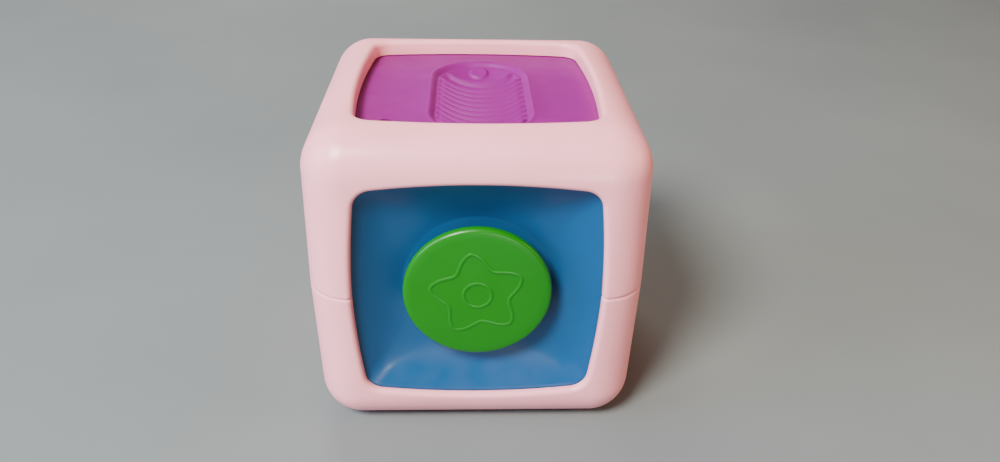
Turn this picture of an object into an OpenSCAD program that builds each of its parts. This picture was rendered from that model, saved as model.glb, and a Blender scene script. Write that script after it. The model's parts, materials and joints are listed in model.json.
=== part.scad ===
// Baby activity cube: six play faces held in a two-part moulded frame.
// Origin at the centre of the underside, +Z up, the glide disc faces -Y, the ridge face is on top.

/* [Cube] */
// Edge length of the cube over the frame
cube_w = 90; // [88:0.5:92]
// Radius of every outer edge and corner
corner_r = 11.7; // [11:0.1:12]
// Inward taper of the frame from the seam to the top and to the underside
draft = 0.8; // [0:0.1:0.8]
// Frame wall thickness
wall = 2.6; // [2.5:0.05:2.7]

/* [Windows] */
// Half size of a window at its corners
window_half = 30.75; // [30.25:0.25:31]
// How far a window side bulges at its middle
window_bulge = 2.1; // [1.8:0.1:2.2]
// Corner radius of a window
window_r = 5.3; // [5:0.1:6]
// Chamfer around the window lip
lip = 0.9; // [0.5:0.1:1]
// Depth of the top panel below the frame face
top_recess = 4.5; // [4.2:0.1:4.8]

/* [Glide face] */
// Radius of the glide disc
disc_r = 19.8; // [19:0.1:20]
// Thickness of the glide disc
disc_t = 3; // [2.5:0.1:3.2]
// Travel of the disc from its centre, in each direction
glide_travel = 5; // [4:0.5:5]
// Depth of the dish floor below the frame face
dish_depth = 9; // [8.8:0.1:9.2]

/* [Back, left, right and bottom faces] */
// Tilt of the rocker away from level, in degrees
rocker_tilt = 8; // [6:1:8]
// Radius of the roller wheels
wheel_r = 15.5; // [15:0.1:15.6]
// Radius of the dial
dial_r = 18; // [17:0.5:18.5]
// Radius of the push button
button_r = 14; // [13.5:0.1:14]
// Stroke of the push button
button_stroke = 3; // [2.5:0.1:3]

/* [Ridge face] */
// Number of full-width ridges across the scoop
ridge_count = 10; // [8:1:10]
// Spacing of the ridges
ridge_pitch = 3.55; // [3.4:0.05:3.6]

/* [Display] */
// Sub-part to draw

/* [Hidden] */

eps = 0.01;
over = 1;
half = cube_w / 2;
fit = 0.05;       // gap between parts that are fixed together
run = 0.06;       // radial gap of a running fit
smooth = 48;
pink = [0.96, 0.83, 0.81];
blue = [0.13, 0.42, 0.66];
green = [0.22, 0.62, 0.12];
purple = [0.69, 0.37, 0.66];
yellow = [0.96, 0.77, 0.20];
orange = [0.95, 0.51, 0.18];
white = [0.93, 0.93, 0.91];
steel = [0.72, 0.73, 0.75];

// window outline: four shallow side arcs joined by corner arcs
side_r = (pow(window_half, 2) + pow(window_bulge, 2)) / (2 * window_bulge);
side_c = side_r - window_half - window_bulge;
corner_c = (sqrt(2 * pow(side_r - window_r, 2) - pow(side_c, 2)) - side_c) / 2;
side_a = atan2(corner_c, corner_c + side_c);
side_seg = 6;
corner_seg = 6;

// frame
inner_half = half - wall;
inner_r = corner_r - wall;
post_in = 32.2;
post_out = 40;
post_c = (post_in + post_out) / 2;
block_c = 39.8;
seam_w = 0.4;
spigot_r = 2.5;
spigot_h = 2;
head_seat = 33;
head_bore_r = 2.6;
screw_hole_r = 1.65;
screw_r = 1.25;
pilot_r = 1.3;
screw_top = 54;

// panels
panel_face = wall + fit;
flange_t = 2.3;
flange_grow = 1;
bowl_shrink = 0.9;
bowl_start = 4.6;
top_face = top_recess + fit;
skirt_grow = 2.2;

// glide mechanism, depths below the frame face
dish_back = dish_depth + 2;
disc_front = 2.1;
disc_back = disc_front + disc_t;
carriage_front = dish_back + 0.1;
carriage_back = carriage_front + 2.3;
carriage_u = 12;
carriage_v = 13;
pocket_u = carriage_u + glide_travel + fit;
pocket_v = carriage_v + fit;
plate_front = carriage_back + 0.1;
plate_back = plate_front + 1.5;
bush_r = 3.4;
bush_flange_r = 6.5;
shaft_r = 2.2;
boss_r = 4.3;
hole_half = boss_r + glide_travel + 0.3;
opening_half = bush_flange_r + glide_travel + 0.4;
block_u = 22;
block_v = 18;
plate_screw_u = 19.6;
plate_screw_v = 15.6;
small_screw_r = 0.95;
small_pilot_r = 1;

// shared tray of the four plain faces
tray_depth = 6.5;
tray_t = 2.2;
tray_half = 24;
tray_r = 12;
tray_back = tray_depth + tray_t;

// rocker
pivot_d = 11;
rocker_u = 13.7;
rocker_arc = 19.3;
rocker_face = 4.5;
rocker_back = 13.5;
lug_in = rocker_u + 0.5;
lug_out = lug_in + 3;
rocker_pin_r = 1.5;

// rollers
wheel_d = 2 + wheel_r;
wheel_w = 9.6;
wheel_pitch = 10;
axle_r = 2;
axle_lug_in = 15.8;
axle_lug_out = 19;

// dial
dial_front = 2;
dial_under = 6;
dial_shaft_r = 4;
dial_shaft_end = tray_back + 0.15;
retainer_r = 7;
retainer_t = 1.2;

// push button
button_depth = 5;
button_floor_t = 3.2;
button_back = button_depth + button_floor_t;
button_front = 1.6;
lip_r = button_r + 1.8;
cup_r = lip_r + 0.5;
cup_floor = 16;
cup_wall = 2;
stem_r = 3;
spring_r = 5;
wire_r = 0.55;
spring_turns = 5;
spring_top = 4.65;
spring_end = cup_floor - fit;
cup_screw_ring = 20.4;

// ---------- shared shapes ----------

function turned(p, q) = [p[0] * cos(q) - p[1] * sin(q), p[0] * sin(q) + p[1] * cos(q)];

function window_points(grow) = [
  for (q = [0 : 90 : 270]) each concat(
    [for (i = [0 : side_seg]) let (a = side_a * (2 * i / side_seg - 1))
      turned([(side_r + grow) * cos(a) - side_c, (side_r + grow) * sin(a)], q)],
    [for (i = [1 : corner_seg - 1]) let (a = side_a + (90 - 2 * side_a) * i / corner_seg)
      turned([corner_c + (window_r + grow) * cos(a), corner_c + (window_r + grow) * sin(a)], q)]
  )
];

function round_points(u, v, r, seg = 6) = [
  for (q = [0 : 3], i = [0 : seg]) let (
    a = 90 * (q + i / seg),
    su = (q == 0 || q == 3) ? 1 : -1,
    sv = (q < 2) ? 1 : -1
  ) [su * (u - r) + r * cos(a), sv * (v - r) + r * sin(a)]
];

module window(grow = 0) polygon(window_points(grow));

module rounded(u, v, r, seg = 6) polygon(round_points(u, v, r, seg));

// a layer of the given height whose outer side lies d below the face
module layer(d, h = eps) translate([0, 0, -d - h]) linear_extrude(h) children();

module on_front() translate([0, -half, half]) rotate([90, 0, 0]) children();
module on_back() translate([0, half, half]) rotate([90, 0, 180]) children();
module on_left() translate([-half, 0, half]) rotate([90, 0, -90]) children();
module on_right() translate([half, 0, half]) rotate([90, 0, 90]) children();
module on_top() translate([0, 0, cube_w]) children();
module on_bottom() rotate([180, 0, 0]) children();

module four(u, v) for (su = [-1, 1], sv = [-1, 1]) translate([su * u, sv * v, 0]) children();

module rod(r, from, to, n = smooth) translate([0, 0, -to]) cylinder(r = r, h = to - from, $fn = n);

module across(r, length, n = smooth)
  rotate([0, 90, 0]) cylinder(r = r, h = length, center = true, $fn = n);

module slab(u, v, from, to) translate([-u, -v, -to]) cube([2 * u, 2 * v, to - from]);

// pan head screw pointing outwards, head seat at depth d
module pan_screw(d, head_r, head_h, shank_r, length) {
  difference() {
    union() {
      rod(head_r, d, d + head_h);
      translate([0, 0, -d - eps]) cylinder(r = shank_r, h = length + eps, $fn = smooth);
    }
    for (a = [0, 90]) translate([0, 0, -d - head_h]) rotate([0, 0, a])
      cube([head_r * 1.2, head_r * 0.3, head_h], center = true);
  }
}

// ---------- frame ----------

module outer_half() {
  flat = half - draft - corner_r;
  hull() {
    four(half - corner_r, half - corner_r) cylinder(r = corner_r, h = eps, $fn = 64);
    four(flat, flat) translate([0, 0, half - corner_r]) sphere(r = corner_r, $fn = 48);
    translate([-flat, -flat, half - eps]) cube([2 * flat, 2 * flat, eps]);
  }
}

module cavity_profile() rounded(inner_half, inner_half, inner_r, 12);

module cavity() intersection() {
  translate([0, 0, -inner_half]) linear_extrude(2 * inner_half) cavity_profile();
  rotate([90, 0, 0]) linear_extrude(2 * inner_half + eps, center = true) cavity_profile();
  rotate([0, 90, 0]) linear_extrude(2 * inner_half + eps, center = true) cavity_profile();
}

module posts() {
  four(post_c, post_c) translate([0, 0, -half])
    linear_extrude(cube_w) square(post_out - post_in, center = true);
  // the eight corners stay solid outside the panels
  four(block_c, block_c) for (s = [-1, 1]) translate([0, 0, s * block_c])
    cube(2 * (half - block_c), center = true);
}

module window_cut(depth) {
  hull() {
    layer(-over) window(lip + over);
    layer(lip) window();
  }
  layer(lip, depth - lip) window();
}

module side_windows() {
  depth = wall + over;
  on_front() window_cut(depth);
  on_back() window_cut(depth);
  on_left() window_cut(depth);
  on_right() window_cut(depth);
}

module upper_frame() color(pink) difference() {
  union() {
    difference() {
      translate([0, 0, half]) outer_half();
      difference() {
        translate([0, 0, half]) cavity();
        translate([0, 0, half]) posts();
        on_top() layer(wall - over, top_recess - wall + over) window(skirt_grow);
      }
    }
    four(post_c, post_c) translate([0, 0, half - spigot_h])
      cylinder(r = spigot_r, h = spigot_h + over, $fn = smooth);
  }
  side_windows();
  on_top() window_cut(top_recess + over);
  four(post_c, post_c) translate([0, 0, half - spigot_h - over])
    cylinder(r = pilot_r, h = screw_top + over - half + spigot_h + over, $fn = smooth);
}

module lower_frame() color(pink) difference() {
  translate([0, 0, half]) mirror([0, 0, 1]) outer_half();
  difference() {
    translate([0, 0, half]) cavity();
    translate([0, 0, half]) posts();
  }
  side_windows();
  on_bottom() window_cut(wall + over);
  four(post_c, post_c) {
    translate([0, 0, -over]) cylinder(r = head_bore_r, h = head_seat + over, $fn = smooth);
    cylinder(r = screw_hole_r, h = half, $fn = smooth);
    translate([0, 0, half - spigot_h - fit])
      cylinder(r = spigot_r + fit, h = spigot_h + over, $fn = smooth);
  }
  translate([0, 0, half - seam_w]) linear_extrude(seam_w + over) difference() {
    square(cube_w + over, center = true);
    rounded(half - seam_w - 0.1, half - seam_w - 0.1, corner_r - seam_w);
  }
}

module case_screw(su, sv) color(steel)
  translate([su * post_c, sv * post_c, 0]) rotate([0, 0, 45])
    pan_screw(-head_seat, 2.3, 2, screw_r, screw_top - head_seat);

module case_screw_1() case_screw(-1, -1);
module case_screw_2() case_screw(1, -1);
module case_screw_3() case_screw(1, 1);
module case_screw_4() case_screw(-1, 1);

// ---------- glide face ----------

module glide_dish() color(blue) on_front() difference() {
  union() {
    layer(panel_face, flange_t) window(flange_grow);
    hull() {
      layer(bowl_start) window(-bowl_shrink);
      layer(8.8) rounded(28.6, 28.6, 14);
      layer(dish_back - eps) circle(r = 22.5, $fn = smooth);
    }
    layer(panel_face + over, carriage_back + fit - panel_face - over) rounded(block_u, block_v, 3);
  }
  hull() {
    layer(panel_face - fit) window();
    layer(6.8) rounded(27.2, 27.2, 14);
    layer(dish_depth - eps) circle(r = 20, $fn = smooth);
  }
  layer(dish_depth - over, over + 3) rounded(hole_half, hole_half, 4.5);
  slab(pocket_u, pocket_v, dish_back, carriage_back + over);
  four(plate_screw_u, plate_screw_v) rod(small_pilot_r, dish_back - fit, carriage_back + over);
}

module glide_carriage() color(white) on_front() difference() {
  slab(carriage_u, carriage_v, carriage_front, carriage_back);
  slab(bush_r + run, glide_travel, carriage_front - over, carriage_back + over);
  for (s = [-1, 1]) translate([0, s * glide_travel, 0])
    rod(bush_r + run, carriage_front - over, carriage_back + over);
}

module glide_bush() color(white) on_front() difference() {
  union() {
    rod(bush_r, dish_back, plate_back);
    rod(bush_flange_r, plate_front, plate_back);
  }
  rod(shaft_r + run, dish_back - over, plate_back + over);
}

module star_outline(r) polygon([for (i = [0 : 9])
  let (q = (i % 2 == 0) ? r : r * 0.5) [q * sin(36 * i), q * cos(36 * i)]]);

module glide_disc() color(green) on_front() {
  edge = 1.3;
  difference() {
    union() {
      rotate_extrude($fn = 96) polygon([
        [0, -disc_back], [disc_r - edge, -disc_back], [disc_r, -disc_back + edge],
        [disc_r, -disc_front - edge], [disc_r - 0.4 * edge, -disc_front - 0.4 * edge],
        [disc_r - edge, -disc_front], [0, -disc_front]
      ]);
      rod(boss_r, disc_back - over, dish_back - fit);
      rod(shaft_r, disc_back, plate_back + fit);
    }
    rod(small_pilot_r, dish_back, plate_back + over);
  }
  rotate([0, 0, 8]) layer(disc_front - 0.5, 0.5 + eps) difference() {
    star_outline(12.5);
    star_outline(10.6);
  }
}

module glide_screw() color(steel) on_front()
  pan_screw(plate_back + fit, 4, 1.4, small_screw_r, plate_back - dish_back - 0.2);

module glide_plate() color(white) on_front() difference() {
  layer(plate_front, plate_back - plate_front) rounded(block_u, block_v, 3);
  layer(plate_front - over, 4) rounded(opening_half, opening_half, 5);
  four(plate_screw_u, plate_screw_v) rod(small_screw_r + 0.15, plate_front - over, plate_back + over);
}

module glide_plate_screw(su, sv) color(steel) on_front()
  translate([su * plate_screw_u, sv * plate_screw_v, 0])
    pan_screw(plate_back + eps, 1.9, 1.2, small_screw_r, plate_back - dish_back - 0.1);

module glide_plate_screw_1() glide_plate_screw(-1, -1);
module glide_plate_screw_2() glide_plate_screw(1, -1);
module glide_plate_screw_3() glide_plate_screw(1, 1);
module glide_plate_screw_4() glide_plate_screw(-1, 1);

// ---------- ridge face ----------

// points at distance w to one side of a path, and the band between both sides
function beside(path, w) = [for (i = [0 : len(path) - 1]) let (
  along = path[min(i + 1, len(path) - 1)] - path[max(i - 1, 0)]
) path[i] + w * [-along[1], along[0]] / norm(along)];

module band(path, w) {
  other = beside(path, -w);
  polygon(concat(beside(path, w), [for (i = [len(path) - 1 : -1 : 0]) other[i]]));
}

relief = 1.2;
relief_u = 13.7;
relief_v = 26.6;
relief_at = [1, -1.4, 0];
scoop_r = 25.5;
scoop_depth = 3;
scoop_end = 13.4;
scoop_wall = 1.8;

// a trough with round ends, hollowed out of the relief; its lowest line is scoop_depth below the relief's border
module scoop(r) translate([relief_at[0], relief_at[1], scoop_r - top_face - relief - scoop_depth]) {
  rotate([90, 0, 0]) cylinder(r = r, h = 2 * scoop_end, center = true, $fn = smooth);
  for (side = [-1, 1]) translate([0, side * scoop_end, 0]) sphere(r = r, $fn = smooth);
}

// the curve of a ridge that ends at reach on both sides
function ridge(reach) = [for (i = [-8 : 8]) let (x = reach * i / 8) [x, 0.03 * x * x]];

// the relief's outline, cut from over the panel's face down to extra below the relief's border
module relief_area(extra) translate(relief_at)
  layer(top_face - over, over + relief + extra) rounded(relief_u, relief_v, 12.5);

module thumb_panel() color(purple) on_top() {
  ridge_h = 1;
  ridge_first = 9.5;
  end_ridge_at = 15.2;
  bump_r = 3.6;
  bump_sink = 3.5;
  difference() {
    union() {
      layer(top_face, tray_t) window(flange_grow);
      translate(relief_at) layer(top_face, relief + scoop_depth + scoop_wall)
        rounded(relief_u + 1.4, relief_v + 1.4, 13.9);
    }
    relief_area(0);
    intersection() {
      scoop(scoop_r);
      relief_area(scoop_depth + over);
    }
    translate([-24, -22, 0]) rod(1.7, top_face - over, top_face + 2 * tray_t);
  }
  difference() {
    translate([relief_at[0], 0, -top_face - relief - scoop_depth - over])
      linear_extrude(scoop_depth + over + ridge_h) {
        for (i = [0 : ridge_count - 1])
          translate([0, ridge_first - i * ridge_pitch]) band(ridge(11.4), 0.7);
        translate([0, end_ridge_at]) band(ridge(9.2), 0.7);
      }
    scoop(scoop_r - ridge_h);
  }
  translate([0.8, 21.4, -top_face - relief - bump_sink]) intersection() {
    sphere(r = bump_r, $fn = smooth);
    translate([0, 0, 4]) cube([8, 8, 6], center = true);
  }
}

// ---------- tray shared by the other faces ----------

module tray(depth = tray_depth, t = tray_t) difference() {
  union() {
    layer(panel_face, flange_t) window(flange_grow);
    hull() {
      layer(bowl_start) window(-bowl_shrink);
      layer(depth + t - eps) rounded(tray_half + 2, tray_half + 2, tray_r + 2);
    }
  }
  hull() {
    layer(panel_face - fit) window();
    layer(depth - eps) rounded(tray_half, tray_half, tray_r);
  }
}

// ---------- switch face ----------

module switch_panel() color(green) on_back() difference() {
  union() {
    tray();
    for (s = [-1, 1]) translate([s * (lug_in + lug_out) / 2, 0, 0])
      slab((lug_out - lug_in) / 2, 4, tray_back - over, pivot_d + 3.5);
  }
  layer(tray_depth - over, tray_t + 2 * over) rounded(rocker_u + 0.3, rocker_arc + 0.3, 0.4);
  translate([0, 0, -pivot_d]) across(rocker_pin_r + 0.02, 2 * lug_out + over);
}

module switch_rocker() color(blue) on_back() translate([0, 0, -pivot_d]) rotate([rocker_tilt, 0, 0]) {
  top = pivot_d - rocker_face;
  low = rocker_back - pivot_d;
  skin = 2;
  difference() {
    union() {
      intersection() {
        across(rocker_arc, 2 * rocker_u, 96);
        translate([-rocker_u, -rocker_arc, -low]) cube([2 * rocker_u, 2 * rocker_arc, low + top]);
      }
      for (s = [-1, 1]) translate([-10, s * 19.75 - 1.75, -low]) cube([20, 3.5, low - 0.8]);
      for (s = [-1, 1], i = [0 : 2]) translate([0, s * (9 + 3 * i), top])
        across(0.5, 16, 24);
    }
    difference() {
      translate([skin - rocker_u, 2 * skin - rocker_arc - 1, -low - over])
        cube([2 * (rocker_u - skin), 2 * (rocker_arc - 2 * skin + 1), low + top - skin + over]);
      across(3.4, 2 * rocker_u);
      translate([-rocker_u, -1, 0]) cube([2 * rocker_u, 2, top]);
    }
    across(rocker_pin_r + run, 2 * rocker_u + over);
  }
}

module switch_pin() color(steel) on_back() translate([0, 0, -pivot_d])
  across(rocker_pin_r, 2 * lug_out);

module switch_washer(s) color(steel) on_back() translate([s * (rocker_u + 0.25), 0, -pivot_d])
  rotate([0, 90, 0]) difference() {
    cylinder(r = 2.25, h = 0.4, center = true, $fn = smooth);
    cylinder(r = rocker_pin_r + 0.1, h = over, center = true, $fn = smooth);
  }

module switch_washer_1() switch_washer(-1);
module switch_washer_2() switch_washer(1);

// ---------- roller face ----------

module roller_panel() color(yellow) on_left() difference() {
  union() {
    tray();
    for (s = [-1, 1]) translate([s * (axle_lug_in + axle_lug_out) / 2, 0, 0])
      slab((axle_lug_out - axle_lug_in) / 2, 5, tray_back - over, wheel_d + 4);
  }
  layer(tray_depth - over, tray_t + 2 * over) rounded(15.3, wheel_r - 2.1, 2);
  translate([0, 0, -wheel_d]) across(axle_r + 0.02, 2 * axle_lug_out + over);
}

module roller_wheel(i, tint) color(tint) on_left()
  translate([i * wheel_pitch, 0, -wheel_d]) rotate([0, 90, 0]) {
    bevel = 2;
    grips = 12;
    difference() {
      rotate_extrude($fn = 96) polygon([
        [axle_r + run, -wheel_w / 2], [wheel_r - bevel, -wheel_w / 2],
        [wheel_r, bevel - wheel_w / 2], [wheel_r, wheel_w / 2 - bevel],
        [wheel_r - bevel, wheel_w / 2], [axle_r + run, wheel_w / 2]
      ]);
      for (k = [0 : grips - 1]) rotate([0, 0, 360 * k / grips]) translate([wheel_r + 1, 0, 0])
        cylinder(r = 2.2, h = wheel_w + over, center = true, $fn = smooth);
    }
  }

module roller_wheel_1() roller_wheel(-1, purple);
module roller_wheel_2() roller_wheel(0, blue);
module roller_wheel_3() roller_wheel(1, green);

module roller_axle() color(steel) on_left() translate([0, 0, -wheel_d])
  across(axle_r, 2 * axle_lug_out);

// ---------- dial face ----------

module dial_panel() color(orange) on_right() difference() {
  tray();
  rod(dial_shaft_r + run, tray_depth - over, tray_back + over);
}

module dial_knob() color(yellow) on_right() difference() {
  union() {
    rotate_extrude($fn = 96) polygon([
      [0, -dial_under], [dial_r - 0.6, -dial_under], [dial_r, -dial_under + 0.6],
      [dial_r, -dial_front - 1.6], [dial_r - 1.6, -dial_front], [0, -dial_front]
    ]);
    rod(dial_shaft_r, dial_under - eps, dial_shaft_end);
  }
  for (k = [0 : 9]) rotate([0, 0, 36 * k]) translate([dial_r + 2, 0, 0])
    rod(3.4, dial_front - over, dial_under + over);
  translate([0, 10, 4.5 - dial_front]) sphere(r = 7, $fn = 96);
  rod(pilot_r, 4.4, dial_shaft_end + over);
}

module dial_washer() color(steel) on_right() difference() {
  rod(8, dial_under + fit, tray_depth - fit);
  rod(dial_shaft_r + 0.2, dial_under - over, tray_depth + over);
}

module dial_retainer() color(white) on_right() difference() {
  rod(retainer_r, dial_shaft_end + eps, dial_shaft_end + retainer_t);
  rod(pilot_r + 0.1, dial_shaft_end - over, dial_shaft_end + retainer_t + over);
}

module dial_screw() color(steel) on_right()
  pan_screw(dial_shaft_end + retainer_t + eps, 3, 1.6, screw_r, retainer_t + 4);

// ---------- button face ----------

module cup_screws() for (k = [0 : 2]) rotate([0, 0, 90 + 120 * k]) translate([cup_screw_ring, 0, 0])
  children();

module button_panel() color(blue) on_bottom() difference() {
  tray(button_depth, button_floor_t);
  rod(button_r + 0.3, button_depth - over, button_back + over);
  cup_screws() rod(small_pilot_r, button_depth + 1.3, button_back + over);
}

module push_button() color(orange) on_bottom() {
  skirt_end = cup_floor - button_stroke - fit;
  crown = 2.2;
  difference() {
    rotate_extrude($fn = 96) polygon([
      [0, -4.6], [button_r - 2, -4.6], [button_r - 2, -skirt_end], [lip_r, -skirt_end],
      [lip_r, -button_back - 0.1], [button_r, -button_back - 0.1],
      [button_r, -button_front - crown], [button_r - 0.3 * crown, -button_front - 0.3 * crown],
      [button_r - crown, -button_front], [0, -button_front]
    ]);
    translate([0, 0, 26 - button_front - 0.9]) sphere(r = 26, $fn = 96);
  }
  rod(stem_r, 4.6 - eps, cup_floor + cup_wall + 1.5);
}

module button_spring() color(steel) on_bottom() {
  pitch = (spring_end - spring_top) / spring_turns;
  spread = 360 * wire_r / pitch;
  section = [for (i = [0 : 13]) let (a = 360 * i / 14, q = spring_r + wire_r * sin(a), b = spread * cos(a))
    [q * cos(b), q * sin(b)]];
  translate([0, 0, -spring_end])
    linear_extrude(spring_end - spring_top, twist = -360 * spring_turns, slices = 90)
      polygon(section);
}

module button_cup() color(white) on_bottom() difference() {
  union() {
    rod(cup_r + 1.8, button_back + fit, cup_floor + cup_wall);
    rod(cup_screw_ring + 2.4, button_back + fit, button_back + 2);
  }
  rod(cup_r, button_back - over, cup_floor);
  rod(stem_r + run, cup_floor - over, cup_floor + cup_wall + over);
  cup_screws() rod(small_screw_r + 0.15, button_back - over, button_back + 2 + over);
}

module button_cup_screw(k) color(steel) on_bottom() rotate([0, 0, 90 + 120 * k])
  translate([cup_screw_ring, 0, 0])
    pan_screw(button_back + 2 + eps, 1.6, 1.2, small_screw_r, 3.5);

module button_cup_screw_1() button_cup_screw(0);
module button_cup_screw_2() button_cup_screw(1);
module button_cup_screw_3() button_cup_screw(2);

// ---------- drawing ----------

upper_frame();
lower_frame();
case_screw_1();
case_screw_2();
case_screw_3();
case_screw_4();
glide_dish();
glide_carriage();
glide_bush();
glide_disc();
glide_screw();
glide_plate();
glide_plate_screw_1();
glide_plate_screw_2();
glide_plate_screw_3();
glide_plate_screw_4();
thumb_panel();
switch_panel();
switch_rocker();
switch_pin();
switch_washer_1();
switch_washer_2();
roller_panel();
roller_wheel_1();
roller_wheel_2();
roller_wheel_3();
roller_axle();
dial_panel();
dial_knob();
dial_washer();
dial_retainer();
dial_screw();
button_panel();
push_button();
button_spring();
button_cup();
button_cup_screw_1();
button_cup_screw_2();
button_cup_screw_3();
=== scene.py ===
import json
import math

import bmesh
import bpy
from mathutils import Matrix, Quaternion, Vector


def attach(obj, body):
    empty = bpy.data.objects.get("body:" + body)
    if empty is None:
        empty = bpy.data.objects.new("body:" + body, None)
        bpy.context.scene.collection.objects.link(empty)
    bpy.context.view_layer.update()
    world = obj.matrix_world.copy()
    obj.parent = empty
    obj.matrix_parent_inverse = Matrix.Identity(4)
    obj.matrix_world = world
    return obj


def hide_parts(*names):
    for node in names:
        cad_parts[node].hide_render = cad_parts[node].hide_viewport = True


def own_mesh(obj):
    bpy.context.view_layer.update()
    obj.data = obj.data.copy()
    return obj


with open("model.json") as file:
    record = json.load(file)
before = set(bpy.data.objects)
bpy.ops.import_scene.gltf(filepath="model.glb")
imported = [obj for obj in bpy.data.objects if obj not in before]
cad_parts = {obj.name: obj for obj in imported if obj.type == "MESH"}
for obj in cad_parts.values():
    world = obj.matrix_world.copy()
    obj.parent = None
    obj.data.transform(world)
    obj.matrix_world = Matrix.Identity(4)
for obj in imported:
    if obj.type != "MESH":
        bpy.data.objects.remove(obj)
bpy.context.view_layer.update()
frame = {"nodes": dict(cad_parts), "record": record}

MM = 0.001

# the cube's driving dimensions, in mm
HALF = 45.0            # half the cube's edge
CORNER = 11.7          # outer edge radius
CORE = HALF - CORNER
DRAFT = 0.8            # inward taper of the frame at the top and the underside
WALL = 2.6             # thickness of the frame
TOP_RECESS = 4.5       # depth of the top window's wall
LIP = 1.35             # rounding of the window lips
GROOVE = 0.28          # depth of the seam line
SEAT_GAP = 0.06        # between the frame's wall and the face panels under it

# ---------------------------------------------------------------- faces of the cube
# a point (u, v, d) of a face: across, up, depth below the frame face, in mm
PLACE = {
    "front": lambda u, v, d: (u, d - HALF, HALF + v),
    "back": lambda u, v, d: (-u, HALF - d, HALF + v),
    "left": lambda u, v, d: (d - HALF, -u, HALF + v),
    "right": lambda u, v, d: (HALF - d, u, HALF + v),
    "top": lambda u, v, d: (u, v, 2 * HALF - d),
    "bottom": lambda u, v, d: (u, -v, d),
}


def lerp(a, b, t):
    return a + (b - a) * t


def smooth(t):
    t = min(max(t, 0.0), 1.0)
    return t * t * (3 - 2 * t)


def swell(t):
    """A rounded hump: 1 at t = 0, falling to 0 at t = -1 and 1."""
    return 0.5 + 0.5 * math.cos(math.pi * t)


def turn_points(n):
    """The angles of n points evenly round a full turn."""
    return [2 * math.pi * i / n for i in range(n)]


# ---------------------------------------------------------------- outlines
# an outline is a function of (side, fraction along the side); sides run from diagonal to diagonal
WINDOW_HALF, BULGE, WINDOW_R = 30.75, 2.1, 5.3
SIDE_R = (WINDOW_HALF ** 2 + BULGE ** 2) / (2 * BULGE)
SIDE_C = SIDE_R - WINDOW_HALF - BULGE
CORNER_C = (math.sqrt(2 * (SIDE_R - WINDOW_R) ** 2 - SIDE_C ** 2) - SIDE_C) / 2
SIDE_A = math.atan2(CORNER_C, CORNER_C + SIDE_C)
SHARE = 0.18           # part of each side's samples spent on half a corner


def turned(p, q):
    """The point p turned by q quarter turns."""
    u, v = p
    for _ in range(q % 4):
        u, v = -v, u
    return u, v


def mirrored(half_side):
    """An outline whose sides are symmetric; half_side(q, g) gives half a side, g from 0 to 0.5."""
    def at(q, f):
        u, v = half_side(q, min(f, 1 - f))
        return turned((u, v if f <= 0.5 else -v), q)
    return at


def along_side(g):
    """Share of the way from the end of the corner to the middle of the side."""
    return (g - SHARE) / (0.5 - SHARE)


def window(grow=0.0):
    """The frame's window, with bulging sides and rounded corners, grown outwards."""
    def half_side(q, g):
        if g < SHARE:
            a = lerp(-math.pi / 4, -SIDE_A, g / SHARE)
            r = WINDOW_R + grow
            return CORNER_C + r * math.cos(a), -CORNER_C + r * math.sin(a)
        a = lerp(-SIDE_A, 0, along_side(g))
        return (SIDE_R + grow) * math.cos(a) - SIDE_C, (SIDE_R + grow) * math.sin(a)
    return mirrored(half_side)


def rounded(hu, hv, r):
    """A rectangle of half sizes hu and hv with corner radius r."""
    def half_side(q, g):
        a_half, b_half = (hu, hv) if q % 2 == 0 else (hv, hu)
        if g < SHARE:
            a = lerp(-math.pi / 4, 0, g / SHARE)
            return a_half - r + r * math.cos(a), r - b_half + r * math.sin(a)
        return a_half, lerp(r - b_half, 0, along_side(g))
    return mirrored(half_side)


def square_border(e, core):
    """A square of half size e, sampled like the rounded outlines with corners that start at core."""
    def half_side(q, g):
        return e, lerp(-e, -core, g / SHARE) if g < SHARE else lerp(-core, 0, along_side(g))
    return mirrored(half_side)


def circle(r):
    def at(q, f):
        a = math.radians(90 * (q + f) - 45)
        return r * math.cos(a), r * math.sin(a)
    return at


def mixed(a, b, t):
    def at(q, f):
        (ua, va), (ub, vb) = a(q, f), b(q, f)
        return lerp(ua, ub, t), lerp(va, vb, t)
    return at


def fractions(count, close=()):
    """Even fractions along a side, with extra ones at these distances around its middle."""
    even = [i / count for i in range(count)]
    return sorted(even + [0.5 + s * c for c in close for s in (-1, 1)])


EVEN = fractions(24)


def ring(shape, d):
    """One closed loop of (u, v, d) points round an outline."""
    return [(*shape(q, f), d) for q in range(4) for f in EVEN]


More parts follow.
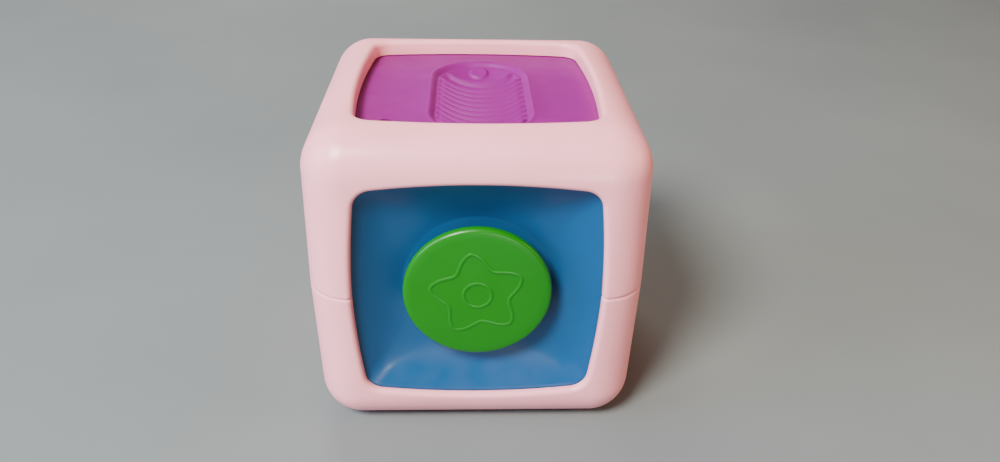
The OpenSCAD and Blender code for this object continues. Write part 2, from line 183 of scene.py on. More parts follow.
# ---------------------------------------------------------------- mesh making
class Shape:
    """Collects closed shells in millimetres and turns them into one object."""

    def __init__(self):
        self.verts, self.faces = [], []

    def add(self, points):
        start = len(self.verts)
        self.verts.extend(points)
        return list(range(start, len(self.verts)))

    def join(self, a, b):
        """Faces between two loops of vertices; a loop of one vertex is a tip."""
        n = max(len(a), len(b))
        for i in range(n):
            j = (i + 1) % n
            if len(a) == 1:
                self.faces.append((a[0], b[j], b[i]))
            elif len(b) == 1:
                self.faces.append((a[i], a[j], b[0]))
            else:
                self.faces.append((a[i], a[j], b[j], b[i]))

    def loft(self, rings, closed=False, place=None):
        """A skin through rings of points, with flat ends or closed into a loop of rings."""
        ids = []
        for points in rings:
            if place:
                points = [PLACE[place](*p) for p in points]
            start = Vector(points[0])
            if all((Vector(p) - start).length < 1e-7 for p in points):
                points = points[:1]
            ids.append(self.add(points))
        pairs = list(zip(ids, ids[1:]))
        if closed:
            pairs.append((ids[-1], ids[0]))
        for a, b in pairs:
            self.join(a, b)
        if not closed:
            for loop in (ids[0], ids[-1]):
                if len(loop) > 2:
                    self.faces.append(tuple(loop))

    def lathe(self, profile, place, n=128):
        """A turned shape from a profile of (radius, depth) points."""
        rings = [[(r * math.cos(a), r * math.sin(a), d) for a in turn_points(n)] for r, d in profile]
        self.loft(rings, place=place)

    def box(self, lo, hi, place, bevel=0.4):
        """A block with rounded edges between two (u, v, d) corners."""
        bm = bmesh.new()
        bmesh.ops.create_cube(bm, size=1)
        for v in bm.verts:
            v.co = Vector([lerp(lo[k], hi[k], v.co[k] + 0.5) for k in range(3)])
        bmesh.ops.bevel(bm, geom=bm.edges[:], offset=bevel, segments=3, profile=0.5, affect="EDGES")
        bm.verts.index_update()
        ids = self.add([PLACE[place](*v.co) for v in bm.verts])
        for f in bm.faces:
            self.faces.append(tuple(ids[v.index] for v in f.verts))
        bm.free()

    def make(self, name, body, nodes, slot, sharp=38, weld=0.0):
        """The object, riding on a body, in place of the CAD nodes; edges over sharp degrees stay crisp."""
        bm = bmesh.new()
        made = [bm.verts.new([c * MM for c in p]) for p in self.verts]
        for f in self.faces:
            bm.faces.new([made[i] for i in f])
        if weld:
            bmesh.ops.remove_doubles(bm, verts=bm.verts, dist=weld * MM)
        bmesh.ops.recalc_face_normals(bm, faces=bm.faces)
        for f in bm.faces:
            f.smooth = True
        limit = math.radians(sharp)
        for e in bm.edges:
            e.smooth = not (len(e.link_faces) == 2 and e.calc_face_angle(0) > limit)
        mesh = bpy.data.meshes.new(name)
        bm.to_mesh(mesh)
        bm.free()
        obj = bpy.data.objects.new(name, mesh)
        bpy.context.scene.collection.objects.link(obj)
        mesh.materials.append(MATERIALS[slot])
        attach(obj, body)
        if nodes:
            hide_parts(*nodes)
        return obj


def drill(obj, cutters):
    """Cuts rods, each (start, end, radius) in mm, out of a piece."""
    for start, end, radius in cutters:
        a, b = Vector(start) * MM, Vector(end) * MM
        bpy.ops.mesh.primitive_cylinder_add(vertices=48, radius=radius * MM, depth=(b - a).length)
        tool = bpy.context.object
        tool.rotation_mode = "QUATERNION"
        tool.rotation_quaternion = (b - a).to_track_quat("Z", "Y")
        tool.location = (a + b) / 2
        mod = obj.modifiers.new("cut", "BOOLEAN")
        mod.operation, mod.solver, mod.object = "DIFFERENCE", "EXACT", tool
        bpy.context.view_layer.objects.active = obj
        bpy.context.view_layer.update()
        bpy.ops.object.modifier_apply(modifier=mod.name)
        bpy.data.objects.remove(tool)


# ---------------------------------------------------------------- materials
def node_tree(name):
    mat = bpy.data.materials.new(name)
    mat.use_nodes = True
    tree = mat.node_tree
    return mat, tree, tree.nodes["Principled BSDF"], tree.nodes.new("ShaderNodeTexCoord")


def noise_node(tree, coord, scale, detail=3, rough=0.5):
    n = tree.nodes.new("ShaderNodeTexNoise")
    n.inputs["Scale"].default_value = scale
    n.inputs["Detail"].default_value = detail
    n.inputs["Roughness"].default_value = rough
    tree.links.new(coord.outputs["Object"], n.inputs["Vector"])
    return n


def ramp(tree, noise, low, high, start=0.3, end=0.7):
    """A noise's middle range spread out from low to high."""
    m = tree.nodes.new("ShaderNodeMapRange")
    m.inputs["From Min"].default_value = start
    m.inputs["From Max"].default_value = end
    m.inputs["To Min"].default_value = low
    m.inputs["To Max"].default_value = high
    tree.links.new(noise.outputs["Fac"], m.inputs["Value"])
    return m.outputs["Result"]


def mottle(tree, noise, a, b, socket):
    """Feeds a socket with a colour that drifts between a and b."""
    mix = tree.nodes.new("ShaderNodeMix")
    mix.data_type = "RGBA"
    tree.links.new(ramp(tree, noise, 0, 1), mix.inputs["Factor"])
    colours = [s for s in mix.inputs if s.name in ("A", "B") and s.type == "RGBA"]
    for colour_in, value in zip(colours, (a, b)):
        colour_in.default_value = (*value, 1)
    result = [s for s in mix.outputs if s.type == "RGBA"][0]
    tree.links.new(result, socket)


def bump_node(tree, noise, strength, distance, under=None):
    """A bump from a noise, laid over the bump under it."""
    bump = tree.nodes.new("ShaderNodeBump")
    bump.inputs["Strength"].default_value = strength
    bump.inputs["Distance"].default_value = distance
    tree.links.new(noise.outputs["Fac"], bump.inputs["Height"])
    if under:
        tree.links.new(under.outputs["Normal"], bump.inputs["Normal"])
    return bump


def plastic(name, colour, rough, coat, sub, shine=0.36):
    """Moulded toy plastic: faint flow marks in the colour, uneven gloss, fine mould grain."""
    mat, tree, bsdf, coord = node_tree(name)
    dark, light = (tuple(min(1.0, c * k) for c in colour) for k in (0.95, 1.04))
    mottle(tree, noise_node(tree, coord, 38, 4), dark, light, bsdf.inputs["Base Color"])
    gloss = ramp(tree, noise_node(tree, coord, 170, 4, 0.55), rough - 0.03, rough + 0.07)
    tree.links.new(gloss, bsdf.inputs["Roughness"])
    waves = bump_node(tree, noise_node(tree, coord, 60, 2), 0.04, 0.002)
    grain = bump_node(tree, noise_node(tree, coord, 2600, 2), 0.05, 0.0001, waves)
    tree.links.new(grain.outputs["Normal"], bsdf.inputs["Normal"])
    bsdf.inputs["Specular IOR Level"].default_value = shine
    bsdf.inputs["Coat Weight"].default_value = coat
    bsdf.inputs["Coat Roughness"].default_value = 0.22
    bsdf.inputs["Subsurface Weight"].default_value = sub
    bsdf.inputs["Subsurface Radius"].default_value = (0.004, 0.003, 0.003)
    bsdf.inputs["Subsurface Scale"].default_value = 1.0
    return mat


def steel(name, rough):
    """Drawn or plated steel with uneven tone and a fine grain."""
    mat, tree, bsdf, coord = node_tree(name)
    broad = noise_node(tree, coord, 120, 3)
    mottle(tree, broad, (0.55, 0.56, 0.58), (0.70, 0.70, 0.72), bsdf.inputs["Base Color"])
    bsdf.inputs["Metallic"].default_value = 1
    fine = noise_node(tree, coord, 900, 2)
    tree.links.new(ramp(tree, fine, rough - 0.08, rough + 0.12), bsdf.inputs["Roughness"])
    grain = bump_node(tree, fine, 0.1, 0.00005)
    tree.links.new(grain.outputs["Normal"], bsdf.inputs["Normal"])
    return mat


MATERIALS = {
    "frame_pink": plastic("frame_pink", (0.95, 0.36, 0.385), 0.33, 0.05, 0.06),
    "plastic_blue": plastic("plastic_blue", (0.006, 0.062, 0.160), 0.32, 0.04, 0.02, shine=0.40),
    "plastic_green": plastic("plastic_green", (0.003, 0.150, 0.0015), 0.31, 0.06, 0.02),
    "plastic_purple": plastic("plastic_purple", (0.200, 0.010, 0.152), 0.44, 0.0, 0.03, shine=0.2),
    "plastic_yellow": plastic("plastic_yellow", (0.70, 0.37, 0.012), 0.34, 0.06, 0.04),
    "plastic_orange": plastic("plastic_orange", (0.680, 0.120, 0.012), 0.34, 0.06, 0.04),
    "plastic_white": plastic("plastic_white", (0.62, 0.62, 0.58), 0.45, 0.0, 0.06),
    "steel_screw": steel("steel_screw", 0.36),
    "steel_part": steel("steel_part", 0.24),
}

slots = {s["node"]: s["material_slot"] for s in frame["record"]["subparts"]}
for node, obj in frame["nodes"].items():
    obj.data.materials.clear()
    obj.data.materials.append(MATERIALS[slots[node]])

# ---------------------------------------------------------------- frame halves
FRAME_FS = fractions(44, (0.0045, 0.0115))   # the extra ones carry the seam line
EDGE = CORE + CORNER * math.pi / 4
SEAM_FLARE = 0.7       # how far the window widens at the seam, per depth of the groove
LIP_TURNS = (0, 15, 32, 50, 70, 90)
INNER_GROW, TOP_INNER_GROW = 0.6, 2.2        # the inside's window against the outside's


def extended(a):
    """Length along the rounded surface for a distance a from the face's centre line."""
    if abs(a) <= CORE:
        return a
    return math.copysign(CORE + CORNER * math.asin(min(1, (abs(a) - CORE) / CORNER)), a)


def surface(eu, ev, r):
    """Point of the rounded cube with edge radius r at the surface lengths (eu, ev)."""
    out, slope = [], []
    for a in (eu, ev):
        over = min(max(abs(a) - CORE, 0) / CORNER, math.pi / 4)
        out.append(min(max(a, -CORE), CORE))
        slope.append(math.copysign(math.tan(over), a))
    n = Vector((slope[0], slope[1], 1)).normalized()
    return out[0] + r * n.x, out[1] + r * n.y, CORE + r * n.z


def taper(z):
    return 1 - DRAFT / HALF * abs(z) / HALF


def frame_rings(side):
    """Rings of one face of the frame, from its outer border over the lip to the inner border."""
    flat = side in ("top", "bottom")
    lift = 1 / taper(HALF) if flat else 1.0      # so that the taper brings the window back to its size
    deep = TOP_RECESS if side == "top" else WALL
    inner_grow = TOP_INNER_GROW if side == "top" else INNER_GROW
    border = square_border(EDGE, CORE)

    def groove(q, f):
        return GROOVE if (not flat) and q % 2 == 0 and abs(f - 0.5) < 1e-9 else 0

    def spread(q, f, u, v, s, r):
        """The point a share s of the way from (u, v) to the face's border, at edge radius r."""
        bu, bv = border(q, f)
        return surface(lerp(extended(u), bu, s), lerp(extended(v), bv, s), r)

    def outer(grow, s, drop):
        def at(q, f):
            cut = groove(q, f)
            u, v = window(grow + SEAM_FLARE * cut)(q, f)
            x, y, w = spread(q, f, u * lift, v * lift, s, CORNER - cut)
            if flat:
                return x * taper(w), y * taper(w), HALF - w + drop
            return x * taper(y), y, HALF - w * taper(y) + drop
        return at

    def wall(grow, d):
        def at(q, f):
            u, v = window(grow + SEAM_FLARE * groove(q, f))(q, f)
            return (u, v, d) if flat else (u * taper(v), v, d)
        return at

    def inner(s):
        def at(q, f):
            x, y, w = spread(q, f, *window(inner_grow)(q, f), s, CORNER - WALL)
            return x, y, HALF - w
        return at

    points = [outer(LIP, s, 0) for s in (1, 0.9, 0.8, 0.7, 0.6, 0.48, 0.36, 0.24, 0.14, 0.06)]
    for a in map(math.radians, LIP_TURNS):
        points.append(outer(LIP * (1 - math.sin(a)), 0, LIP * (1 - math.cos(a))))
    points += [wall(0, deep - 0.24), wall(0.38, deep)]
    if side == "top":
        points.append(wall(inner_grow, deep))
    points += [inner(s) for s in (0, 0.25, 0.5, 0.75, 1)]
    return [[at(q, f) for q in range(4) for f in FRAME_FS] for at in points]


def frame_shapes():
    """The frame's faces, shared out between the half above the seam and the half below."""
    upper, lower = Shape(), Shape()
    for side in PLACE:
        rings = [[PLACE[side](*p) for p in r] for r in frame_rings(side)]
        n = len(rings[0])
        ids = {upper: {}, lower: {}}
        for i in range(len(rings) - 1):
            for j in range(n):
                k = (j + 1) % n
                corners = ((i, j), (i, k), (i + 1, k), (i + 1, j))
                middle = sum(rings[a][b][2] for a, b in corners) / 4
                half = upper if middle > HALF else lower
                for a, b in corners:
                    if (a, b) not in ids[half]:
                        ids[half][(a, b)] = half.add([rings[a][b]])[0]
                half.faces.append(tuple(ids[half][c] for c in corners))
    return upper, lower


def close_seam(obj):
    """Flat faces where the two halves meet."""
    bm = bmesh.new()
    bm.from_mesh(obj.data)
    open_edges = [e for e in bm.edges if len(e.link_faces) == 1]
    made = bmesh.ops.holes_fill(bm, edges=open_edges, sides=0)["faces"]
    for f in made:
        f.smooth = False
        for e in f.edges:
            e.smooth = False
    bmesh.ops.recalc_face_normals(bm, faces=bm.faces)
    bm.to_mesh(obj.data)
    bm.free()


# the corner posts that carry the case screws
POST, POST_R = 36.1, 3.8                     # distance from the middle both ways, and radius
HEAD_R, SHANK_R = 2.6, 1.3                   # bores of the lower and the upper posts
POST_CORNERS = [(su * POST, sv * POST) for su in (-1, 1) for sv in (-1, 1)]


def frame_halves():
    upper, lower = (shape.make(name + "_shell", "cube", [name], "frame_pink", 45, 0.002)
                    for name, shape in zip(("upper_frame", "lower_frame"), frame_shapes()))
    for half in (upper, lower):
        close_seam(half)
    drill(lower, [((x, y, -2), (x, y, 9), HEAD_R) for x, y in POST_CORNERS])


def wall_middle(x, y):
    """Height of the middle of the rounded bottom wall at (x, y), where the lower posts start."""
    dx, dy = (max(abs(a) + 0.7 - CORE, 0) for a in (x, y))
    return CORNER - math.sqrt((CORNER - 0.6 * WALL) ** 2 - dx ** 2 - dy ** 2)


def case_posts():
    posts = Shape()
    for px, py in POST_CORNERS:
        for low, high, bore in ((wall_middle, 33, HEAD_R), (45, 80, SHANK_R)):
            rings = []
            for r, z in ((POST_R, low), (POST_R, high), (bore, high), (bore, low)):
                points = [(px + r * math.cos(a), py + r * math.sin(a)) for a in turn_points(48)]
                rings.append([(x, y, z(x, y) if callable(z) else z) for x, y in points])
            posts.loft(rings, closed=True)
    posts.make("case_posts", "cube", [], "frame_pink")


frame_halves()
case_posts()

# ---------------------------------------------------------------- face panels
FACE = WALL + SEAT_GAP
FLANGE_BACK = FACE + 2.25
FLANGE = 0.96          # how far the flange reaches under the frame past the window
HOLE_LIP = 0.5         # rounding of the edge of a panel's opening


def panel(place, node, slot, floor, depth, thick, hole, power, floor_rings, steps=14,
          back=rounded(26, 26, 14), crease=None, extra=None):
    """A face panel: flange under the frame, curved slope down to a flat floor with a hole in it.

    floor, back and crease are outlines, and hole gives the opening's outline grown by its argument.
    crease is a squarer outline that the slope heads for at first, which leaves a valley in each corner.
    extra adds shells to the panel."""
    edge = window(-0.25)
    rings = [ring(window(FLANGE), FACE), ring(window(0.3), FACE)]
    for t in [i / steps for i in range(steps)] + [0.985, 1]:
        target = mixed(crease, floor, smooth((t - 0.3) / 0.7)) if crease else floor
        rings.append(ring(mixed(edge, target, t), lerp(FACE, depth, 1 - (1 - t) ** power)))
    for k in floor_rings:
        rings.append(ring(mixed(floor, hole(HOLE_LIP), k), depth))
    for share, drop in ((1, 0), (0.35, 0.3), (0, 1)):
        rings.append(ring(hole(HOLE_LIP * share), depth + HOLE_LIP * drop))
    under = depth + thick
    rings += [ring(hole(0), under), ring(back, under)]
    rings.append(ring(mixed(back, window(-0.9), 0.5), lerp(under, FLANGE_BACK, 0.35)))
    rings += [ring(window(-0.9), FLANGE_BACK), ring(window(FLANGE), FLANGE_BACK)]
    shape = Shape()
    shape.loft(rings, closed=True, place=place)
    if extra:
        extra(shape)
    shape.make(node + "_shell", "cube", [node], slot, 50)


def square_hole(hu, hv, r):
    return lambda g: rounded(hu + g, hv + g, r + g)


def round_hole(r):
    return lambda g: circle(r + g)


# ---------------------------------------------------------------- glide dish
DISH_DEPTH, DISH_T = 9.0, 2.0
POCKET_TOP, POCKET_END = 10.6, 13.45         # the frame behind the dish that guides the carriage


def glide_pocket(shape):
    outer, inner = rounded(22, 18, 3), rounded(17.1, 13.1, 0.08)
    end = rounded(21.7, 17.7, 2.8)
    rings = [ring(outer, POCKET_TOP), ring(outer, POCKET_END - 0.3), ring(end, POCKET_END),
             ring(inner, POCKET_END), ring(inner, POCKET_TOP)]
    shape.loft(rings, closed=True, place="front")


panel("front", "glide_dish", "plastic_blue", circle(20), DISH_DEPTH, DISH_T, square_hole(9.6, 9.6, 4.5), 1.25,
      (0.02, 0.3, 0.7), steps=20, back=circle(22.5), crease=rounded(20, 20, 3), extra=glide_pocket)

# ---------------------------------------------------------------- glide disc
DISC_R, DISC_FRONT, DISC_BACK = 19.8, 2.12, 5.1
RIM_R = 1.2            # rounding of the disc's front edge
STEM_R, STEM_END = 4.3, 10.95
PIN_R, PIN_END, BORE_R = 2.2, 15.05, 1.0     # the screw's sleeve at the end of the stem
BEAD_HALF, BEAD_H = 0.5, 0.17                # half width and height of the raised lines


def disc_face(r):
    """Depth of the gently crowned face at radius r."""
    return DISC_FRONT + 0.45 * (r / DISC_R) ** 2


def quarter(steps=8):
    """The angles of a quarter round, without its start."""
    return [math.radians(90 * i / steps) for i in range(1, steps + 1)]


def bead(shape, path, base, place):
    """A raised rounded line along a closed path on a face; base gives the depth of the face."""
    n = len(path)
    flank = [(1.15, -0.25), (1, 0.1), (0.75, 0.6), (0.35, 0.92)]
    section = [(-s, h) for s, h in flank] + [(0, 1)] + flank[::-1]
    rings = []
    for i, (u, v) in enumerate(path):
        (ua, va), (ub, vb) = path[i - 1], path[(i + 1) % n]
        t = Vector((ub - ua, vb - va)).normalized()
        d = base(math.hypot(u, v))
        rings.append([(u - t.y * s * BEAD_HALF, v + t.x * s * BEAD_HALF, d - h * BEAD_H) for s, h in section])
    shape.loft(rings, closed=True, place=place)


def flower(r, dip, petals, turn, count):
    """A closed path with rounded petals; a dip of 0 makes it a circle."""
    out = []
    for a in turn_points(count):
        k = r * (1 - dip * (0.5 - 0.5 * math.cos(petals * a)) ** 0.8)
        out.append((k * math.cos(a + turn), k * math.sin(a + turn)))
    return out


def glide_disc():
    disc = Shape()
    profile = [(0, DISC_FRONT)]
    profile += [(r, disc_face(r)) for r in (3, 6, 9, 12, 14.5, 16.2, 17.2)]
    profile += [(DISC_R - RIM_R + RIM_R * math.sin(a), disc_face(18.4) + RIM_R * (1 - math.cos(a)))
                for a in quarter()]
    profile += [(DISC_R, DISC_BACK - 0.6), (DISC_R - 0.2, DISC_BACK - 0.15), (DISC_R - 0.7, DISC_BACK)]
    profile += [(12, DISC_BACK), (STEM_R + 0.6, DISC_BACK), (STEM_R, DISC_BACK + 0.5)]
    profile += [(STEM_R, STEM_END - 0.25), (STEM_R - 0.2, STEM_END), (PIN_R, STEM_END)]
    profile += [(PIN_R, PIN_END - 0.15), (PIN_R - 0.2, PIN_END), (BORE_R, PIN_END), (BORE_R, 11.0), (0, 11.0)]
    disc.lathe(profile, "front")
    bead(disc, flower(12.6, 0.33, 5, math.radians(98), 240), disc_face, "front")
    bead(disc, flower(3.7, 0, 5, 0, 96), disc_face, "front")
    disc.make("glide_disc_cap", "glide_puck", ["glide_disc"], "plastic_green", 50)


glide_disc()

# ---------------------------------------------------------------- ridge panel
TOP_FACE = TOP_RECESS + SEAT_GAP
TOP_BACK = TOP_FACE + 2.2
RELIEF_U, RELIEF_V, RELIEF_R, RELIEF_DEPTH = 13.75, 26.6, 12.5, 1.2
RELIEF_AT = (1.0, -1.4)
RELIEF_WALL, RIM_H, RIM_HALF = 1.5, 0.2, 0.35         # the slope into the relief and the low rim round it
SCOOP_R, SCOOP_DEPTH, SCOOP_END, SCOOP_WALL = 25.5, 3.0, 13.4, 1.8
RIDGES, RIDGE_PITCH, RIDGE_SAG, RIDGE_FIRST = 10, 3.55, 0.03, 9.5
RIDGE_REACH, END_RIDGE_AT, END_RIDGE_REACH = 12.7, 15.2, 10.4
RIDGE_H, RIDGE_END_H = 1.45, 0.95
RIDGE_SHAPE, RIDGE_RUNOUT = 0.55, 2.4                 # how full a ridge is, and the length of its sloping end
BUMP_AT, BUMP_H = (0.8, 21.4), 0.75
BUMP_HALF = (2.9, 2.4)
SMALL_HOLE, SMALL_HOLE_R = (-24, -22), 1.7
GRID_LOW, GRID_HIGH = (-13.8, -29.2), (15.8, 26.2)    # the fine grid round the relief
GRID_U, GRID_V = 112, 208


def relief_inside(u, v):
    """Distance inside the relief's oblong outline, negative outside."""
    a, b = abs(u - RELIEF_AT[0]), abs(v - RELIEF_AT[1])
    cu, cv = RELIEF_U - RELIEF_R, RELIEF_V - RELIEF_R
    if a > cu and b > cv:
        return RELIEF_R - math.hypot(a - cu, b - cv)
    return min(RELIEF_U - a, RELIEF_V - b)


def scoop(x, v):
    """Depth of the round-ended trough below the relief's border, x from its middle line."""
    past = max(abs(v - RELIEF_AT[1]) - SCOOP_END, 0)
    return max(math.sqrt(max(SCOOP_R ** 2 - x * x - past * past, 0)) - SCOOP_R + SCOOP_DEPTH, 0)


def ridge_share(off, reach, x):
    """Share of a ridge's height at off half pitches from its middle line; reach is where it ends."""
    return swell(min(off, 1)) ** RIDGE_SHAPE * smooth((reach - x) / RIDGE_RUNOUT)


def relief_height(u, v):
    """Height of the ridge panel's face above its flat level."""
    inside = relief_inside(u, v)
    h = -RELIEF_DEPTH * smooth((inside + 0.1) / RELIEF_WALL)
    h += RIM_H * math.exp(-((inside + 0.5) / RIM_HALF) ** 2)
    if inside < 0:
        return h
    x = abs(u - RELIEF_AT[0])
    h -= scoop(x, v)
    # the ridges are one shallow curve repeated straight down the panel, and a shorter one at the end
    along = v - RIDGE_SAG * x * x
    i = min(max(round((RIDGE_FIRST - along) / RIDGE_PITCH), 0), RIDGES - 1)
    near = ((RIDGE_FIRST - i * RIDGE_PITCH, RIDGE_REACH), (END_RIDGE_AT, END_RIDGE_REACH))
    share = max(ridge_share(abs(along - at) / (0.5 * RIDGE_PITCH), reach, x) for at, reach in near)
    border_fade = smooth((inside - 0.8) / 0.9)
    h += lerp(RIDGE_H, RIDGE_END_H, (x / RIDGE_REACH) ** 2) * share * border_fade
    bump = math.hypot((u - BUMP_AT[0]) / BUMP_HALF[0], (v - BUMP_AT[1]) / BUMP_HALF[1])
    return h + BUMP_H * smooth((1.12 - bump) / 0.36)


def ridge_panel():
    shape = Shape()
    ids = []
    for i in range(GRID_U + 1):
        u = lerp(GRID_LOW[0], GRID_HIGH[0], i / GRID_U)
        vs = [lerp(GRID_LOW[1], GRID_HIGH[1], j / GRID_V) for j in range(GRID_V + 1)]
        ids.append(shape.add([PLACE["top"](u, v, TOP_FACE - relief_height(u, v)) for v in vs]))
    for a, b in zip(ids, ids[1:]):
        for j in range(GRID_V):
            shape.faces.append((a[j], b[j], b[j + 1], a[j + 1]))
    # border of the grid, starting at its low right corner and running round the way outlines do
    border = ids[-1][:-1] + [col[-1] for col in ids[:0:-1]] + ids[0][:0:-1] + [col[0] for col in ids[:-1]]

    def loop(outline, d):
        points = []
        for q, count in enumerate((GRID_V, GRID_U, GRID_V, GRID_U)):
            for i in range(count):
                u, v = outline(q, i / count)
                points.append(PLACE["top"](u, v, d))
        return shape.add(points)

    rim = loop(window(FLANGE), TOP_FACE)
    loops = [border]
    for t in (0.3, 0.65):
        points = []
        for inner_id, rim_id in zip(border, rim):
            (x, y, _), (rx, ry, _) = shape.verts[inner_id], shape.verts[rim_id]
            points.append(PLACE["top"](lerp(x, rx, t), lerp(y, ry, t), TOP_FACE))
        loops.append(shape.add(points))
    loops += [rim, loop(window(FLANGE), TOP_BACK), loop(rounded(15.1, 28, 13.9), TOP_BACK)]
    pan_depth = TOP_FACE + RELIEF_DEPTH + SCOOP_DEPTH + SCOOP_WALL - 0.05
    loops.append(loop(rounded(14.8, 27.7, 13.6), pan_depth))
    for a, b in zip(loops, loops[1:]):
        shape.join(a, b)
    shape.faces.append(tuple(loops[-1]))
    obj = shape.make("ridge_panel", "cube", ["thumb_panel"], "plastic_purple", 60)
    drill(obj, [((*SMALL_HOLE, 78), (*SMALL_HOLE, 88), SMALL_HOLE_R)])


ridge_panel()

# ---------------------------------------------------------------- the four panels the photo does not show
TRAY_DEPTH, TRAY_T = 6.5, 2.2
TRAY_FLOOR = rounded(24, 24, 12)
TRAY_RINGS = (0.15, 0.6)
LUG_TOP = 8.2


def lugs(place, near, far, half_v, end):
    """A pair of lugs on the back of a panel, between near and far on both sides."""
    def extra(shape):
        for lo, hi in ((-far, -near), (near, far)):
            shape.box((lo, -half_v, LUG_TOP), (hi, half_v, end), place)
    return extra


panel("back", "switch_panel", "plastic_green", TRAY_FLOOR, TRAY_DEPTH, TRAY_T, square_hole(14.05, 19.65, 1.6),
      1.5, TRAY_RINGS, extra=lugs("back", 14.25, 17.15, 4, 14.45))
panel("left", "roller_panel", "plastic_yellow", TRAY_FLOOR, TRAY_DEPTH, TRAY_T, square_hole(15.35, 13.45, 2),
      1.5, TRAY_RINGS, extra=lugs("left", 15.85, 18.95, 5, 21.4))
panel("right", "dial_panel", "plastic_orange", TRAY_FLOOR, TRAY_DEPTH, TRAY_T, round_hole(4.1),
      1.5, TRAY_RINGS)
panel("bottom", "button_panel", "plastic_blue", TRAY_FLOOR, 5.0, 3.2, round_hole(14.35),
      1.5, TRAY_RINGS)

# ---------------------------------------------------------------- rocker
PIVOT = 11.0
TILT = math.radians(8)
ROCKER_FACE = 4.6      # depth of the ends of the rocker's crowned face
ROCKER_END = 19.25     # radius of the rocker's round ends about the pivot
ROCKER_HALF = 13.65
PIN_BORE = 1.55


def tilted(v, d):
    """A rocker point given level, turned to its rest tilt about the pivot; up the face goes outwards."""
    w = PIVOT - d
    return v * math.cos(TILT) - w * math.sin(TILT), PIVOT - (v * math.sin(TILT) + w * math.cos(TILT))


def rocker_face(v):
    return ROCKER_FACE + 0.75 * (1 - (v / 18.4) ** 2)


def rocker_paddle():
    outline = [(v, rocker_face(v)) for v in [lerp(-17.2, 17.2, i / 24) for i in range(25)]]
    top = math.atan2(PIVOT - ROCKER_FACE - 1.2, ROCKER_END)
    down = [lerp(top, -0.12, i / 8) for i in range(9)]
    for s, angles in ((1, down), (-1, down[::-1])):
        outline += [(s * ROCKER_END * math.cos(a), PIVOT - ROCKER_END * math.sin(a)) for a in angles]
    rings = []
    for u, shrink in ((ROCKER_HALF - 0.9, 0), (ROCKER_HALF - 0.25, 0.35), (ROCKER_HALF, 0.9)):
        k, m = 1 - shrink / ROCKER_END, 1 - shrink / (PIVOT - ROCKER_FACE) * 0.9
        loop = [tilted(v * k, PIVOT - (PIVOT - d) * m) for v, d in outline]
        rings = [[(-u, v, d) for v, d in loop]] + rings + [[(u, v, d) for v, d in loop]]
    shape = Shape()
    shape.loft(rings, place="back")
    obj = shape.make("switch_paddle", "rocker", ["switch_rocker"], "plastic_blue", 40)
    drill(obj, [(PLACE["back"](-20, 0, PIVOT), PLACE["back"](20, 0, PIVOT), PIN_BORE)])


def rocker_grips():
    """Three raised bars at each end of the rocker."""
    shape = Shape()
    for v in [s * (9 + 3 * i) for s in (-1, 1) for i in range(3)]:
        rings = []
        for u, r in ((-8, 0.05), (-7.9, 0.3), (-7.6, 0.5), (7.6, 0.5), (7.9, 0.3), (8, 0.05)):
            section = [(v + r * 1.3 * math.cos(a), rocker_face(v) + 0.05 - 1.2 * r * math.sin(a))
                       for a in turn_points(12)]
            rings.append([(u, *tilted(*p)) for p in section])
        shape.loft(rings, place="back")
    shape.make("switch_grips", "rocker", [], "plastic_blue", 40)


rocker_paddle()
rocker_grips()

# ---------------------------------------------------------------- roller wheels
WHEEL_D = 17.5         # depth of the axle
WHEEL_PITCH = 10
GRIPS, GRIP_DEPTH = 12, 1.25


def wheel(i, slot, body):
    """The wheel at place i on the axle, -1, 0 or 1."""
    half = [(2.07, -4.8), (4.5, -4.8), (5.0, -4.2), (10.2, -4.2), (10.8, -4.8)]
    half += [(13.3, -4.8), (14.2, -4.6), (14.9, -4.0), (15.3, -3.1), (15.5, -1.8), (15.5, 0)]
    rings = []
    for r, x in half + [(r, -x) for r, x in half[-2::-1]]:
        bite = GRIP_DEPTH * smooth((r - 10.8) / 4.2)
        loop = []
        for a in turn_points(192):
            rr = r - bite * swell(GRIPS * a / math.pi) ** 2.2
            loop.append((i * WHEEL_PITCH + x, rr * math.sin(a), WHEEL_D - rr * math.cos(a)))
        rings.append(loop)
    shape = Shape()
    shape.loft(rings, closed=True, place="left")
    name = "roller_wheel_%d" % (i + 2)
    shape.make(name + "_grip", body, [name], slot, 45)


wheel(-1, "plastic_purple", "roller_a")
wheel(0, "plastic_blue", "roller_b")
wheel(1, "plastic_green", "roller_c")

# ---------------------------------------------------------------- dial
DIAL_WAVES = 10
DIAL_FRONT = 2.2
FINGER_AT, FINGER_R, FINGER_DEPTH = 10, 5.6, 2.2    # the finger hollow


def dial_depth(u, v, base):
    """Depth of the dial's face, with the finger hollow and its soft edge."""
    k = math.hypot(u, v - FINGER_AT) / FINGER_R
    dip = FINGER_DEPTH * (1 - k * k) + 0.15 if k < 1 else 0
    return base + dip + 0.105 * math.exp(-((k - 1.0) / 0.12) ** 2)


def dial_ring(r, d, bite):
    """A ring of the dial; bite is how far its waves cut in."""
    loop = []
    for a in turn_points(200):
        rr = r - bite * swell(DIAL_WAVES * a / math.pi) ** 2
        u, v = rr * math.cos(a), rr * math.sin(a)
        loop.append((u, v, dial_depth(u, v, d)))
    return loop


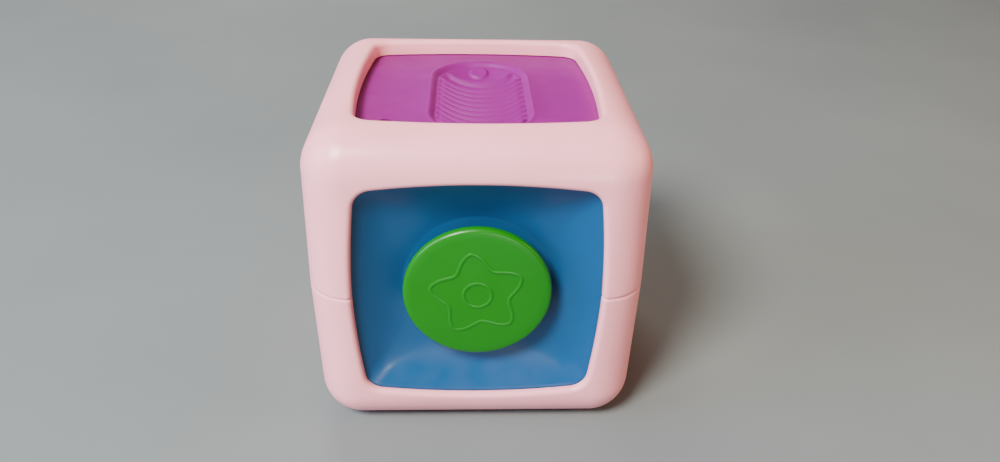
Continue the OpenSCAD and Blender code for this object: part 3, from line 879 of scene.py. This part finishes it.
def dial():
    rings = [[(0, 0, DIAL_FRONT)]]
    rings += [dial_ring(r, DIAL_FRONT - 0.15 * (r / 16) ** 2, 0) for r in [0.45 * k for k in range(1, 35)]]
    rings += [dial_ring(*step) for step in (
        (15.9, 2.08, 0.5), (16.6, 2.2, 1.0), (17.2, 2.45, 1.25), (17.7, 2.9, 1.35), (17.95, 3.5, 1.4),
        (18, 4.2, 1.4), (18, 5.5, 1.4), (17.8, 5.85, 1.4), (17.4, 6.0, 1.4))]
    for r, d in ((4.0, 6.0), (4.0, 8.7), (3.85, 8.85), (1.3, 8.85), (1.3, 4.6), (0, 4.6)):
        rings.append([(r * math.cos(a), r * math.sin(a), d) for a in turn_points(200)])
    shape = Shape()
    shape.loft(rings, place="right")
    shape.make("dial_cap", "dial", ["dial_knob"], "plastic_yellow", 45)


dial()

# ---------------------------------------------------------------- push button and spring
SPRING_R, WIRE_R, TURNS, COIL_TOP, COIL_END = 5.0, 0.52, 5, 5.25, 15.35


def push_button():
    profile = [(0, 2.5)] + [(r, 2.5 - 0.85 * (r / 11) ** 2) for r in (2, 4, 6, 8, 9.5, 10.6)]
    profile += [(11.7 + 2.3 * math.sin(a), 3.95 - 2.3 * math.cos(a)) for a in quarter()]
    profile += [(14, 8.2), (14.1, 8.3), (15.7, 8.3), (15.8, 8.4), (15.8, 12.85), (15.7, 12.95), (12.1, 12.95)]
    profile += [(12, 12.85), (12, 4.8), (11.8, 4.6), (3.2, 4.6), (3, 4.8), (3, 19.2), (2.7, 19.5), (0, 19.5)]
    button = Shape()
    button.lathe(profile, "bottom")
    button.make("button_cap", "button", ["push_button"], "plastic_orange", 40)


def button_spring():
    steps = TURNS * 36
    rings = []
    for i in range(steps + 1):
        a = 2 * math.pi * TURNS * i / steps
        d = lerp(COIL_TOP, COIL_END, i / steps)
        wire = [(SPRING_R + WIRE_R * math.cos(t), d + WIRE_R * math.sin(t)) for t in turn_points(12)]
        rings.append([(r * math.cos(a), r * math.sin(a), z) for r, z in wire])
    coil = Shape()
    coil.loft(rings, place="bottom")
    spring = coil.make("button_spring_coil", "cube", ["button_spring"], "steel_part", 50)
    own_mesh(spring)


push_button()
button_spring()

# ---------------------------------------------------------------- floor, light, camera
FLOOR_SIZE = 12        # m


def pale_floor():
    mat, tree, bsdf, coord = node_tree("pale_floor")
    mottle(tree, noise_node(tree, coord, 9, 4), (0.135, 0.152, 0.142), (0.152, 0.168, 0.156),
           bsdf.inputs["Base Color"])
    bsdf.inputs["Roughness"].default_value = 0.75
    bpy.ops.mesh.primitive_plane_add(size=FLOOR_SIZE, location=(0, 0, 0))
    floor = bpy.context.object
    floor.name = "floor"
    floor.data.materials.append(mat)


def area(name, at, look, size, power, colour):
    """A round area light at a place in metres, turned to look at a point."""
    light = bpy.data.lights.new(name, "AREA")
    light.shape = "DISK"
    light.size, light.energy, light.color = size, power, colour
    obj = bpy.data.objects.new(name, light)
    bpy.context.scene.collection.objects.link(obj)
    obj.location = at
    obj.rotation_mode = "QUATERNION"
    obj.rotation_quaternion = (Vector(look) - Vector(at)).to_track_quat("-Z", "Y")
    return obj


def lights():
    """A soft key from above on the left, cool light from the left and warm light from the right."""
    area("key", (-0.40, -0.55, 0.78), (0, 0, 0.04), 0.32, 26, (1.0, 0.97, 0.96))
    area("left", (-0.85, -0.25, 0.45), (0, 0, 0.04), 0.5, 10.5, (0.46, 0.60, 1.0))
    area("right", (0.80, -0.10, 0.35), (0, 0, 0.04), 0.5, 4.0, (1.0, 0.50, 0.28))
    back = area("back", (-0.20, 0.85, 0.55), (0, 0, 0.05), 0.5, 11, (1.0, 0.92, 0.90))
    front = area("front", (-0.26, -0.45, 0.05), (0, 0, 0.02), 0.30, 1.5, (0.62, 0.78, 1.0))
    back.visible_glossy = front.visible_glossy = False
    # seen only as a reflection, in the dish's lower corners
    glint = area("glint", (0.13, -0.62, 0.045), (-0.02, -0.04, 0.02), 0.05, 0.8, (1.0, 0.97, 0.98))
    glint.visible_diffuse = glint.visible_camera = False


def studio_world():
    world = bpy.data.worlds.new("studio")
    bpy.context.scene.world = world
    world.use_nodes = True
    background = world.node_tree.nodes["Background"]
    background.inputs["Color"].default_value = (0.80, 0.86, 0.92, 1)
    background.inputs["Strength"].default_value = 0.16


def photo_camera():
    """The photo's view: from in front and above, with a slight roll."""
    place, direction, roll = (-0.00295, -0.2175, 0.1670), (0.0415, 0.8622, -0.5048), 1.45
    data = bpy.data.cameras.new("camera")
    data.lens, data.sensor_width = 29.05, 36
    data.clip_start = 0.01
    camera = bpy.data.objects.new("camera", data)
    bpy.context.scene.collection.objects.link(camera)
    camera.location = place
    camera.rotation_mode = "QUATERNION"
    aim = Vector(direction).to_track_quat("-Z", "Y")
    camera.rotation_quaternion = aim @ Quaternion((0, 0, 1), math.radians(roll))
    bpy.context.scene.camera = camera


pale_floor()
lights()
studio_world()
photo_camera()
